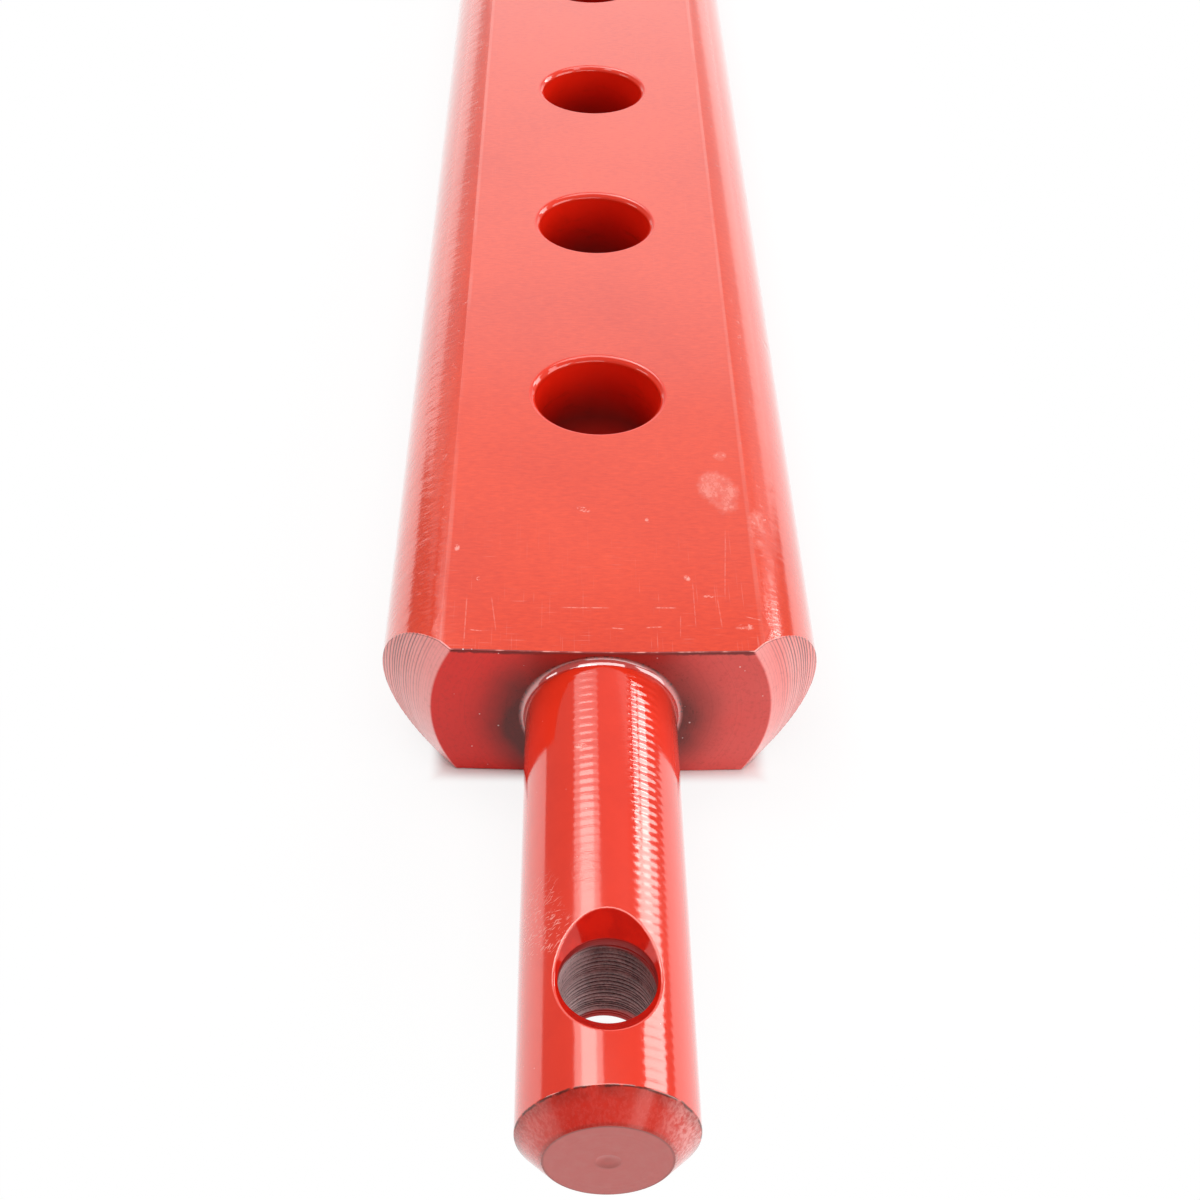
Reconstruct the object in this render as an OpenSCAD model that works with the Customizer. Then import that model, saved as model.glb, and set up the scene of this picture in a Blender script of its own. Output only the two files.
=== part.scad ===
// Drawbar for a category 1 three-point linkage.
// One steel bar, laid along X, with the width along Y and the thickness along Z.
// Both ends are turned down about the X axis to a pin, and the hitch holes are drilled through the flats.
// The origin is the middle of the bar, on the common axis of the two pins.

/* [Bar] */
// Distance between the two shoulders, where the lower links stop
shoulder_span = 683; // [420:1:840]
// Width of the bar
bar_w = 65; // [56:1:80]
// Thickness of the bar between its two flats
bar_t = 25; // [24:0.5:32]
// How far each rounded long edge stands out past the flats
edge_bulge = 9.5; // [4:0.5:11]

/* [Shoulders] */
// Radius of the face turned on each shoulder, out to where the bevel starts
face_r = 24.8; // [18:0.1:26]
// How far that face rises from its rim to the root of the pin
face_rise = 0.5; // [0.1:0.1:2]
// Angle of the turned bevel to the length of the bar, in degrees
bevel_angle = 39; // [25:1:60]

/* [Link pins] */
// Diameter of each pin
pin_d = 22; // [18:0.5:23.5]
// Length of each pin from its shoulder
pin_len = 71; // [50:1:90]
// Size of the 45 degree chamfer on the end of each pin
pin_chamfer = 3.3; // [0.5:0.1:5]
// Radius of the fillet at the root of each pin
root_fillet = 1; // [0.4:0.1:2]
// Diameter of the shallow centre mark left by the lathe on the end of each pin
centre_mark_d = 3; // [1:0.1:5]
// Depth of that mark
centre_mark_depth = 0.4; // [0.1:0.1:1]

/* [Linchpin holes] */
// Diameter of the hole through each pin
linch_d = 12; // [6:0.5:13]
// Distance from the end of the pin to the middle of the hole
linch_inset = 19; // [15:0.5:24]
// Depth of the 90 degree countersink at both mouths
linch_sink = 2.7; // [0.5:0.1:3]

/* [Hitch holes] */
// Diameter of each hitch hole
hole_d = 21; // [12:0.5:30]
// Spacing of the holes along the bar
hole_pitch = 56; // [40:1:90]
// Least distance from a shoulder to the middle of the nearest hole
end_clear = 50; // [40:1:90]
// Size of the chamfer at both mouths of each hole
hole_chamfer = 0.7; // [0.2:0.1:1.5]

/* [Hidden] */
$fn = 128;
paint_red = [0.86, 0.16, 0.12];
// Overlap that carries a cut clear of the surface it opens
cut_over = 1;
pin_r = pin_d / 2;
shoulder_x = shoulder_span / 2;
end_x = shoulder_x + pin_len;
edge_r = (pow(bar_t / 2, 2) + pow(edge_bulge, 2)) / (2 * edge_bulge);
blank_r = norm([bar_w, bar_t]) / 2 + cut_over;
bevel_depth = (blank_r - face_r) / tan(bevel_angle);
face_slope = atan(face_rise / (face_r - pin_r));
linch_x = end_x - linch_inset;
holes_each_side = floor((shoulder_x - end_clear) / hole_pitch);

// Height of the turned shoulder face at radius r
function face_x(r) = shoulder_x + face_rise * (face_r - r) / (face_r - pin_r);

// Section of the bar as it is rolled, with the width along X and the thickness along Y
module bar_section() {
    square([bar_w - 2 * edge_bulge, bar_t], center = true);
    for (side = [0, 1])
        mirror([side, 0])
            intersection() {
                translate([0, -bar_t / 2])
                    square([bar_w / 2 + cut_over, bar_t]);
                translate([bar_w / 2 - edge_r, 0])
                    circle(edge_r);
            }
}

// The bar before it is turned, as long as it is from one pin's end to the other's
module bar_blank() {
    rotate([90, 0, 90])
        linear_extrude(2 * end_x, center = true)
            bar_section();
}

// Half outline of one fillet, tangent to the pin and to the shoulder's face
module root_outline() {
    fillet_r = pin_r + root_fillet;
    fillet_x = face_x(fillet_r) + root_fillet / cos(face_slope);
    foot_r = fillet_r - root_fillet * sin(face_slope);
    difference() {
        polygon([[pin_r, face_x(pin_r)], [foot_r, face_x(foot_r)], [pin_r, fillet_x]]);
        translate([fillet_r, fillet_x])
            circle(root_fillet);
    }
}

// Half outline of what the lathe leaves at one end: bevel, shoulder face, pin and its chamfered end
module turned_outline() {
    polygon([
        [0, 0],
        [blank_r, 0],
        [blank_r, shoulder_x - bevel_depth],
        [face_r, shoulder_x],
        [pin_r, face_x(pin_r)],
        [pin_r, end_x - pin_chamfer],
        [pin_r - pin_chamfer, end_x],
        [0, end_x]
    ]);
    root_outline();
}

// The solid swept by that outline about the pins' axis, at both ends
module turned_ends() {
    for (side = [-1, 1])
        rotate([0, side * 90, 0])
            rotate_extrude()
                turned_outline();
}

// Cutter for a round hole through a thickness, with a 45 degree opening of the given depth at both mouths
module drilled(d, thickness, mouth) {
    cylinder(d = d, h = thickness + 2 * cut_over, center = true);
    for (side = [0, 1])
        mirror([0, 0, side])
            translate([0, 0, thickness / 2 - mouth])
                cylinder(r1 = d / 2, r2 = d / 2 + mouth + cut_over, h = mouth + cut_over);
}

// Shallow cone that the lathe leaves in the end of a pin, carried out past the end at the same slope
module centre_mark() {
    cone_h = centre_mark_depth + cut_over;
    translate([end_x - centre_mark_depth, 0, 0])
        rotate([0, 90, 0])
            cylinder(d1 = 0, d2 = centre_mark_d * cone_h / centre_mark_depth, h = cone_h);
}

module drawbar() {
    color(paint_red)
        difference() {
            intersection() {
                bar_blank();
                turned_ends();
            }
            for (i = [-holes_each_side : holes_each_side])
                translate([i * hole_pitch, 0, 0])
                    drilled(hole_d, bar_t, hole_chamfer);
            for (side = [0, 1])
                mirror([side, 0, 0]) {
                    translate([linch_x, 0, 0])
                        drilled(linch_d, pin_d, linch_sink);
                    centre_mark();
                }
        }
}

drawbar();
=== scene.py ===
import math
import random

import bpy
from mathutils import Matrix, Vector
from mathutils.geometry import delaunay_2d_cdt


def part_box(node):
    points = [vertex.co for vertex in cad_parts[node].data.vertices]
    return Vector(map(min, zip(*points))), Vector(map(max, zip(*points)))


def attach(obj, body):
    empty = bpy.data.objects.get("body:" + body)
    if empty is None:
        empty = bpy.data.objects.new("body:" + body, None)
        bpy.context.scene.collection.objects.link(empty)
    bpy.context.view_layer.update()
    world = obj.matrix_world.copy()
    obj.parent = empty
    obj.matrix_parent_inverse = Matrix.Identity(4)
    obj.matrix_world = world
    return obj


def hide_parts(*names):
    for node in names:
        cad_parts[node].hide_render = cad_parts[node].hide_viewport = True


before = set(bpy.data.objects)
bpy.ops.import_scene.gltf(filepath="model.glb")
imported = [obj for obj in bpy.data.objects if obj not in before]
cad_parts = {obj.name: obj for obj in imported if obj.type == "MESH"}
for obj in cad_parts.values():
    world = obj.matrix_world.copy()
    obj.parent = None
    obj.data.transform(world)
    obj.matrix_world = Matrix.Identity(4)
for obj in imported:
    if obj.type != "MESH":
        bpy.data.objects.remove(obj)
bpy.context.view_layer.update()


# The bar: one length of hot-rolled steel with two flats and two rounded long edges.
# It runs along X. The ends are turned and the holes are drilled in it, so it is all one skin,
# laid in millimetres, facet by facet, with the normal of the true surface at each corner.
MM = 0.001
FULL_TURN = 2 * math.pi
low, high = (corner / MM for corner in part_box("drawbar"))
end_x, edge_y, flat_z = high
edge_bulge = 9.5
crease_round = 1.2
weld_digits = 4
knit_tolerance = 1e-6
edge_r = (flat_z ** 2 + edge_bulge ** 2) / (2 * edge_bulge)
edge_mid = edge_y - edge_r
crease_y = edge_mid + math.sqrt((edge_r - crease_round) ** 2 - (flat_z - crease_round) ** 2)
crease_turn = math.atan2(crease_y - edge_mid, flat_z - crease_round)
crease_run = crease_round * crease_turn
quarter_run = crease_y + crease_run + edge_r * (math.pi / 2 - crease_turn)

places, normals, numbers = [], [], {}
facets, facet_finish = [], []


def corner(place, normal):
    """The number of the corner at a place. Patches that meet there share it."""
    key = tuple(round(c, weld_digits) + 0.0 for c in place)
    if key not in numbers:
        numbers[key] = len(places)
        places.append(place)
        normals.append(normal)
    return numbers[key]


def lay(corners, finish):
    """Adds one facet, turned so that it faces the way its normals point."""
    ids = [corner(*c) for c in corners]
    if len(set(ids)) < 3:
        return
    a, b, c = (places[i] for i in ids)
    if (b - a).cross(c - a).dot(normals[ids[0]] + normals[ids[1]] + normals[ids[2]]) < 0:
        ids.reverse()
    facets.append(ids)
    facet_finish.append(finish)


def lay_four(a, b, c, d, finish):
    """Adds the two facets that fill four corners."""
    lay((a, b, c), finish)
    lay((a, c, d), finish)


def within(loops, u, v):
    """True where (u, v) lies inside closed loops of spots and outside their holes."""
    odd = False
    for loop in loops:
        for a, b in zip(loop, loop[1:] + loop[:1]):
            if (a[1] > v) != (b[1] > v) and u < a[0] + (b[0] - a[0]) * (v - a[1]) / (b[1] - a[1]):
                odd = not odd
    return odd


def knit(loops, lines, loose, finish):
    """Fills a flat pattern, bounded by loops, with facets. A spot is (u, v, place, normal)."""
    spots, edges = [], []
    for closed, group in ((True, loops), (False, lines)):
        for line in group:
            first = len(spots)
            spots += line
            edges += [(first + i, first + i + 1) for i in range(len(line) - 1)]
            if closed:
                edges.append((len(spots) - 1, first))
    on_loops = sum(len(loop) for loop in loops)
    spots += loose
    dots = [Vector(spot[:2]) for spot in spots]
    _, _, triangles, sources, _, _ = delaunay_2d_cdt(dots, edges, [], 0, knit_tolerance)
    for triangle in triangles:
        ids = [min(sources[i]) for i in triangle]
        trio = [spots[i] for i in ids]
        middle = (sum(spot[axis] for spot in trio) / 3 for axis in (0, 1))
        # Only a facet that has all its spots on the loops can lie outside the pattern.
        if max(ids) >= on_loops or within(loops, *middle):
            lay([spot[2:] for spot in trio], finish)


def quarter(run):
    """Place and normal (y, z, ny, nz) on the bar's section, that far from the middle of the top."""
    if run <= crease_y:
        return run, flat_z, 0.0, 1.0
    if run <= crease_y + crease_run:
        turn = (run - crease_y) / crease_round
        mid_y, mid_z, r = crease_y, flat_z - crease_round, crease_round
    else:
        turn = crease_turn + (run - crease_y - crease_run) / edge_r
        mid_y, mid_z, r = edge_mid, 0.0, edge_r
    return mid_y + r * math.sin(turn), mid_z + r * math.cos(turn), math.sin(turn), math.cos(turn)


# The shoulders: each end of the bar is faced on the lathe, then bevelled to a cone that takes its
# corners off. The tool left rings round the pin's axis, deep and torn at the outside of the bevel
# and fine on the face.
pin_r = 11.0
pin_len = 71.0
shoulder_x = end_x - pin_len
face_r = 24.8
face_rise = 0.5
face_slope = face_rise / (face_r - pin_r)
bevel_angle = 39
bevel_slope = 1 / math.tan(math.radians(bevel_angle))
face_round = 0.2
root_round = 1.0
rim_round = 0.3
rim_steps = 5
pin_columns = 128

# Each tool mark is its radius, its depth and its half width. They get deeper from where the tool
# starts to tear.
first_mark, last_mark = face_r + 0.5, 32.2
torn_from, torn_over = face_r + 1.6, 5.8
shallow_mark, deep_mark = 0.008, 0.10
full_mark = 0.06
tool_marks = []
mark_dice = random.Random(7)
mark_r = first_mark
while mark_r < last_mark:
    torn = max(0.0, (mark_r - torn_from) / torn_over)
    depth = shallow_mark + deep_mark * torn ** 0.6 * mark_dice.uniform(0.45, 1.2)
    tool_marks.append((mark_r, depth, mark_dice.uniform(0.05, 0.085)))
    mark_r += mark_dice.uniform(0.30, 0.47)


def faced(r):
    """Height and slope of the turned shoulder at radius r, without its tool marks."""
    into = r - (face_r - face_round)
    height = shoulder_x + face_slope * (face_r - r)
    if into <= 0:
        return height, -face_slope
    drop = bevel_slope - face_slope
    if into < 2 * face_round:
        return height - drop * into ** 2 / (4 * face_round), -face_slope - drop * into / (2 * face_round)
    return shoulder_x - bevel_slope * (r - face_r), -bevel_slope


def scored(r):
    """The same with the tool marks."""
    height, slope = faced(r)
    for mark, depth, width in tool_marks:
        off = (r - mark) / width
        if abs(off) < 4:
            dip = depth * math.exp(-off * off)
            height -= dip
            slope += dip * 2 * off / width
    return height, slope


def mark_darkness(spot):
    """How deep in a tool mark a place on the bevel is, from 0 to 1."""
    r = math.hypot(spot.y, spot.z)
    if abs(spot.x) > shoulder_x or abs(spot.x) < shoulder_x - bevel_slope * (r - face_r) - 0.3:
        return 0.0
    return sum(min(1.0, depth / full_mark) * math.exp(-((r - mark) / width) ** 2)
               for mark, depth, width in tool_marks if abs(r - mark) < 4 * width)


def facing(slope):
    """Axial and radial parts of a turned surface's normal."""
    size = math.hypot(1, slope)
    return 1 / size, -slope / size


def rim_rows(run, sign_y, sign_z):
    """(place, normal) rows over the rounded edge of the shoulder, at one point of the section."""
    y, z, ny, nz = quarter(run)
    y, ny, z, nz = y * sign_y, ny * sign_y, z * sign_z, nz * sign_z
    r = math.hypot(y, z)
    height, slope = faced(r)
    along, out = facing(slope)
    on_shoulder = Vector((along, out * y / r, out * z / r))
    on_bar = Vector((0, ny, nz))
    middle = Vector((scored(r)[0], y, z))
    middle -= rim_round * (on_shoulder + on_bar) / (1 + on_shoulder.dot(on_bar))
    rows = []
    for i in range(rim_steps):
        normal = on_shoulder.slerp(on_bar, i / (rim_steps - 1))
        place = middle + rim_round * normal
        place.z = max(-flat_z, min(flat_z, place.z))
        rows.append((place, normal))
    return rows


def rim_radius(run):
    place = rim_rows(run, 1, 1)[0][0]
    return math.hypot(place.y, place.z)


def run_at(r):
    """Where along the section's quarter the shoulder's edge has radius r."""
    short, long = 0.0, quarter_run
    for _ in range(40):
        half = (short + long) / 2
        if rim_radius(half) < r:
            short = half
        else:
            long = half
    return (short + long) / 2


mark_steps = (-1.8, -0.9, 0.0, 0.9, 1.8)
ring_radii = [13.4, 15.5, 18.5, 21.5, 23.8, face_r - face_round, face_r - face_round / 3,
              face_r + face_round / 3, face_r + face_round]
for mark, depth, width in tool_marks:
    ring_radii += [mark + width * step for step in mark_steps]
ring_radii = sorted(r for r in ring_radii if r < rim_radius(quarter_run) - 0.02)
ring_runs = {r: run_at(r) for r in ring_radii}

flat_steps, crease_steps, edge_steps = 16, 4, 14
arc_run = quarter_run - crease_y - crease_run
plain_runs = [crease_y * i / flat_steps for i in range(flat_steps + 1)]
plain_runs += [crease_y + crease_run * i / crease_steps for i in range(1, crease_steps + 1)]
plain_runs += [quarter_run - arc_run * i / edge_steps for i in range(edge_steps)]
keep_apart = 0.03
quarter_runs = sorted(
    [run for run in plain_runs if all(abs(run - other) > keep_apart for other in ring_runs.values())
     or run in (0.0, crease_y, quarter_run)]
    + list(ring_runs.values()))

# The section is walked once round: over the top from right to left, then back along the underside.
walk = [(run, 1, 1) for run in reversed(quarter_runs)]
walk += [(run, -1, 1) for run in quarter_runs[1:]]
walk += [(run, -1, -1) for run in reversed(quarter_runs[:-1])]
walk += [(run, 1, -1) for run in quarter_runs[1:-1]]
rims = {step: rim_rows(*step) for step in walk}


def at_end(end, spot):
    """A place and its normal, mirrored to the far end where end is -1."""
    return tuple(Vector((end * v.x, v.y, v.z)) for v in spot)


def turned_spot(r, angle):
    height, slope = scored(r)
    along, out = facing(slope)
    return (Vector((height, r * math.cos(angle), r * math.sin(angle))),
            Vector((along, out * math.cos(angle), out * math.sin(angle))))


# How far over its rounded edge each corner of the rim lies, which the enamel's dark line and painted
# highlight follow.
rim_share = {}
root_foot = pin_r + root_round - root_round * math.sin(math.atan(face_slope))
foot_ring = [turned_spot(root_foot, FULL_TURN * i / pin_columns) for i in range(pin_columns)]
ring_step = math.radians(2.5)
for end in (1, -1):
    def face_spot(spot):
        return (spot[0].y, spot[0].z) + at_end(end, spot)

    loops = [[face_spot(rims[step][0]) for step in walk], [face_spot(spot) for spot in foot_ring]]
    lines = []
    for r, run in ring_runs.items():
        for sign_y in (1, -1):
            top, bottom = (rims[(run, sign_y, sign_z)][0] for sign_z in (1, -1))
            reach = math.atan2(top[0].z, abs(top[0].y))
            angles = [i * ring_step for i in range(-40, 41) if abs(i * ring_step) < reach - 0.3 * ring_step]
            between = [turned_spot(r, angle if sign_y > 0 else math.pi - angle) for angle in angles]
            lines.append([face_spot(spot) for spot in [bottom] + between + [top]])
    knit(loops, lines, [], "shoulder_enamel")
    for step, after in zip(walk, walk[1:] + walk[:1]):
        for i in range(rim_steps):
            rim_share[corner(*at_end(end, rims[step][i]))] = i / (rim_steps - 1)
        for i in range(rim_steps - 1):
            a, d = (at_end(end, spot) for spot in rims[step][i:i + 2])
            b, c = (at_end(end, spot) for spot in rims[after][i:i + 2])
            lay_four(a, b, c, d, "shoulder_enamel")


# Enamel on the turned shoulder: red over the lathe's rings, so thin on their crests that it looks chalky,
# and on the bevel that pale tone is also a painted sheen.
# Grease and grit from the lower link's ball have darkened the face round the pin, where painted shade
# darkens it too. Painted shade also lies in the bevel's tool marks, under the face's top edge and above the
# pin. A painted reflection greys the right of the face, and a painted highlight runs along the shoulder's
# rim.


class Wire:
    """One socket in a finish's nodes. Arithmetic on it adds Math nodes, and node() adds any other."""

    def __init__(self, tree, socket=None):
        self.tree, self.socket = tree, socket

    def node(self, kind, settings=None, out=0, **given):
        """Adds a node. Settings are set first, then the sockets named by the rest of the words."""
        made = self.tree.nodes.new(kind)
        for name, value in (settings or {}).items():
            setattr(made, name, value)
        for name, value in given.items():
            name = name.replace("_", " ")
            socket = next(s for s in made.inputs if name in (s.identifier.replace("_", " "), s.name))
            if isinstance(value, Wire):
                self.tree.links.new(value.socket, socket)
            else:
                socket.default_value = value
        found = made.outputs[out] if isinstance(out, int) else next(
            s for s in made.outputs if out in (s.identifier, s.name))
        return Wire(self.tree, found)

    def math(self, operation, *values):
        return self.node("ShaderNodeMath", {"operation": operation},
                         **dict(zip(("Value", "Value_001", "Value_002"), values)))

    def __add__(self, other): return self.math("ADD", self, other)
    def __radd__(self, other): return self.math("ADD", other, self)
    def __sub__(self, other): return self.math("SUBTRACT", self, other)
    def __rsub__(self, other): return self.math("SUBTRACT", other, self)
    def __mul__(self, other): return self.math("MULTIPLY", self, other)
    def __rmul__(self, other): return self.math("MULTIPLY", other, self)
    def __truediv__(self, other): return self.math("DIVIDE", self, other)
    def __abs__(self): return self.math("ABSOLUTE", self)

    def most(self, other):
        """The greater of this value and another."""
        return self.math("MAXIMUM", self, other)

    def rise(self, low, high):
        """0 where the value is below low, 1 where it is above high, and smooth between."""
        return self.node("ShaderNodeMapRange", {"interpolation_type": "SMOOTHSTEP"},
                         Value=self, From_Min=low, From_Max=high)

    def band(self, middle, half, soft):
        """1 within half of middle, fading to 0 over the soft width."""
        return 1 - abs(self - middle).rise(half, half + soft)

    def grain(self, size, detail=2.0, roughness=0.5, stretch=(1, 1, 1), shift=(0, 0, 0)):
        """Noise about 0.5 whose grains are that many millimetres across, drawn out by stretch."""
        scaled = self.node("ShaderNodeVectorMath", {"operation": "MULTIPLY_ADD"}, Vector=self,
                           Vector_001=tuple(1 / (size * s) for s in stretch), Vector_002=shift)
        return self.node("ShaderNodeTexNoise", Vector=scaled, Scale=1.0, Detail=detail, Roughness=roughness)

    def layers(self, per_mm, detail=2.0, roughness=0.5):
        """Noise that varies along this value alone, that many times a millimetre."""
        return self.node("ShaderNodeTexNoise", {"noise_dimensions": "1D"},
                         W=self, Scale=per_mm, Detail=detail, Roughness=roughness)

    def over(self, under, upper):
        """Colour under, with upper laid over it where this mask is 1."""
        return self.node("ShaderNodeMix", {"data_type": "RGBA"}, out="Result_Color", Factor_Float=self,
                         A_Color=under if isinstance(under, Wire) else (*under, 1),
                         B_Color=upper if isinstance(upper, Wire) else (*upper, 1))

    def relief(self, depth, under=None):
        """A normal from this height, where 1 stands the given number of millimetres proud."""
        below = {} if under is None else {"Normal": under}
        return self.node("ShaderNodeBump", Height=self, Distance=depth * MM, Strength=1.0, **below)


class Finish:
    """A material, with the place on it in millimetres and its shader."""

    def __init__(self, name, **steady):
        self.material = bpy.data.materials.new(name)
        self.material.use_nodes = True
        self.shader = self.material.node_tree.nodes["Principled BSDF"]
        for socket, value in steady.items():
            self.shader.inputs[socket.replace("_", " ")].default_value = value
        start = Wire(self.material.node_tree)
        metres = start.node("ShaderNodeTexCoord", out="Object")
        self.place = metres.node("ShaderNodeVectorMath", {"operation": "SCALE"},
                                 Vector=metres, Scale=1 / MM)
        self.x, self.y, self.z = (self.place.node("ShaderNodeSeparateXYZ", out=axis, Vector=self.place)
                                  for axis in "XYZ")

    def set(self, **sockets):
        for socket, wire in sockets.items():
            wire.tree.links.new(wire.socket, self.shader.inputs[socket.replace("_", " ")])


BEVEL_RED = (0.90, 0.040, 0.018)
FACE_RED = (0.77, 0.030, 0.022)
REFLECTION_HAZE = (0.72, 0.135, 0.118)
CHALK_AND_SHEEN = (0.92, 0.40, 0.375)
GREASE_AND_SHADE = (0.070, 0.013, 0.009)
MOTTLE = (0.25, 0.018, 0.014)
EDGE_SHADE = (0.105, 0.008, 0.006)
SHADED_RED = (0.40, 0.014, 0.008)
EDGE_DARK = (0.075, 0.006, 0.004)
GRIME_AND_SHADE = (0.050, 0.010, 0.008)
GRIT = (0.03, 0.006, 0.004)
DUST = (0.95, 0.85, 0.82)
SCUFF_AND_HIGHLIGHT = (0.95, 0.40, 0.34)
grease_shade_r, grit_r = 20.5, 16.5
shoulder = Finish("shoulder_enamel", Coat_Roughness=0.12, IOR=1.36, Coat_IOR=1.75)
y, z, place = shoulder.y, shoulder.z, shoulder.place
r = place.math("SQRT", y * y + z * z)
bevel = r.rise(face_r - 0.25, face_r + 0.15)
on_face = 1 - bevel
mark = place.node("ShaderNodeAttribute", {"attribute_name": "tool_mark"}, out="Fac")
rim = place.node("ShaderNodeAttribute", {"attribute_name": "rim"}, out="Fac")
cloud = place.grain(6, 3.0, 0.6)
smear = place.grain(9, 3.0, 0.6, shift=(4, 4, 4))
fine = place.grain(0.6, 3.0, 0.6)
ragged = place.grain(1.6, 3.0, 0.6, shift=(7, 3, 1))
rings = r.layers(2.6, 4.0, 0.7)

# Grease round the pin, with painted shade there too, heavier low down and on the left.
low_and_left = (1 - z.rise(-9, 13) * 0.35) * (1.3 - y.rise(-14, -4) * 0.3)
grease_and_shade = (1 - r.rise(pin_r + 0.2, grease_shade_r)) * (0.45 + smear) * low_and_left
# Painted reflection: the right of the face is greyed, as if it mirrored the lit floor.
reflection_haze = on_face * y.rise(3, 17) * (0.50 + smear * 0.3)
right_side = y.rise(22, 28) * (1 - r.rise(27, 28.5))
# Chalky thin paint over the bevel, whose pale tone is also a painted sheen, less of it low on the right.
chalk_and_sheen = bevel * (0.44 + cloud * 0.35) * (1 - right_side * 0.5)
grit = place.grain(0.4, 2.0, 0.6, shift=(3, 9, 2)).rise(0.60, 0.70) * (1 - r.rise(pin_r + 0.5, grit_r))
speck = place.node("ShaderNodeTexVoronoi", out="Distance", Vector=place, Scale=0.42)
speck = (1 - speck.rise(0.035, 0.060)) * on_face
# Painted shade: a dark ragged band along the face just under its top edge.
shade_under_top = (z + (ragged - 0.5) * 0.9).rise(flat_z - 0.65, flat_z - 0.35) * on_face
above_pin = z.rise(pin_r - 1.2, pin_r + 0.8) * (1 - abs(y).rise(6.0, 13.0)) * on_face
dark_line = rim.band(0.25, 0.10, 0.14) * place.grain(2.2, 3.0, 0.6, shift=(3, 3, 3)).rise(0.30, 0.50)
# Painted highlight: a broken pale line along the rounded rim of the shoulder, in the scuff colour.
rim_highlight = rim.band(0.75, 0.12, 0.12) * place.grain(3.0, 3.0, 0.6, shift=(8, 1, 2)).rise(0.45, 0.62)

colour = on_face.over(BEVEL_RED, FACE_RED)
colour = reflection_haze.over(colour, REFLECTION_HAZE)
colour = chalk_and_sheen.over(colour, CHALK_AND_SHEEN)
colour = grease_and_shade.math("MINIMUM", grease_and_shade, 0.92).over(colour, GREASE_AND_SHADE)
colour = ((fine - 0.5) * 0.8).over(colour, MOTTLE)
colour = (shade_under_top * 0.75).over(colour, EDGE_SHADE)
# Painted shade in the bevel's tool marks, stronger on its upper part.
colour = (mark * (0.40 + z.rise(-7, 7) * 0.6)).over(colour, GRIME_AND_SHADE)
colour = (rings.rise(0.60, 0.70) * on_face * 0.16).over(colour, GRIME_AND_SHADE)
colour = (grit * 0.65).over(colour, GRIT)
colour = (speck * 0.75).over(colour, DUST)
colour = (above_pin * 0.70).over(colour, SHADED_RED)
colour = (dark_line * 0.55).over(colour, EDGE_DARK)
colour = (rim_highlight * 0.7).over(colour, SCUFF_AND_HIGHLIGHT)
shoulder.set(Base_Color=colour,
             Roughness=0.40 + fine * 0.08 + bevel * 0.03,
             Coat_Weight=bevel * 0.8 + rim * on_face * 0.3 + 0.04,
             Normal=(rings * 0.5 + place.grain(1.0) * 0.3 + fine * 0.15).relief(0.03))

# In the root of the pin the paint has pooled, glossy and a little broken, and darker towards the face.
DEEP_RED = (0.66, 0.020, 0.006)
ROOT_DARK_RED = (0.20, 0.022, 0.016)
CRACK = (0.04, 0.006, 0.004)
root = Finish("root_enamel", Coat_Roughness=0.03, Roughness=0.3, IOR=1.4, Coat_IOR=3.0)
y, z, place = root.y, root.z, root.place
r = place.math("SQRT", y * y + z * z)
cracked = place.grain(0.55, 2.0, 0.6)
outer = r.rise(pin_r + 0.25, root_foot - 0.1)
colour = (outer * 0.9).over(DEEP_RED, ROOT_DARK_RED)
colour = (outer * cracked.rise(0.50, 0.62) * 0.85).over(colour, CRACK)
root.set(Base_Color=colour, Coat_Weight=1 - outer * 0.9, Normal=(cracked * (0.4 + outer)).relief(0.05))


# The flats and the rounded long edges, left as the mill rolled them, between the two shoulders.
# The flats are pierced by the hitch holes, and each long edge meets them in a soft crease.
hole_r = 10.5
hole_chamfer = 0.7
hole_pitch = 56.0
holes_each_side = 5
holes_x = [hole_pitch * i for i in range(-holes_each_side, holes_each_side + 1)]
hole_columns = 80
mouth_round = 0.80
clear_of_mouth = 0.8
mouth_r = hole_r + hole_chamfer + mouth_round * math.tan(math.pi / 8)
crease_end = rims[(crease_y, 1, 1)][-1][0].x
flat_rows = (-18.5, -14, -9.5, -5, 0, 5, 9.5, 14, 18.5)
long_steps = 96
long_xs = [crease_end * (2 * i / long_steps - 1) for i in range(long_steps + 1)]


def long_spot(x, run, sign_y, sign_z):
    y, z, ny, nz = quarter(run)
    return Vector((x, sign_y * y, sign_z * z)), Vector((0, sign_y * ny, sign_z * nz))


for sign_z in (1, -1):
    def flat_spot(spot):
        return (spot[0].x, spot[0].y) + spot

    on_flat = [step for step in walk if step[2] == sign_z and step[0] <= crease_y]
    steps = sorted(on_flat, key=lambda step: step[0] * step[1])
    border = []
    for end in (1, -1):
        border += [at_end(end, rims[step][-1]) for step in (steps if end > 0 else reversed(steps))]
        line = [long_spot(x, crease_y, end, sign_z) for x in long_xs[1:-1]]
        border += line if end < 0 else reversed(line)
    loops = [[flat_spot(spot) for spot in border]]
    for x in holes_x:
        ring = []
        for i in range(hole_columns):
            angle = FULL_TURN * i / hole_columns
            place = Vector((x + mouth_r * math.cos(angle), mouth_r * math.sin(angle), sign_z * flat_z))
            ring.append(flat_spot((place, Vector((0, 0, sign_z)))))
        loops.append(ring)
    loose = [flat_spot(long_spot(x, abs(y), math.copysign(1, y), sign_z))
             for x in long_xs[1:-1] for y in flat_rows
             if all(math.hypot(x - hole_x, y) > mouth_r + clear_of_mouth for hole_x in holes_x)]
    knit(loops, [], loose, "rolled_enamel")

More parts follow.
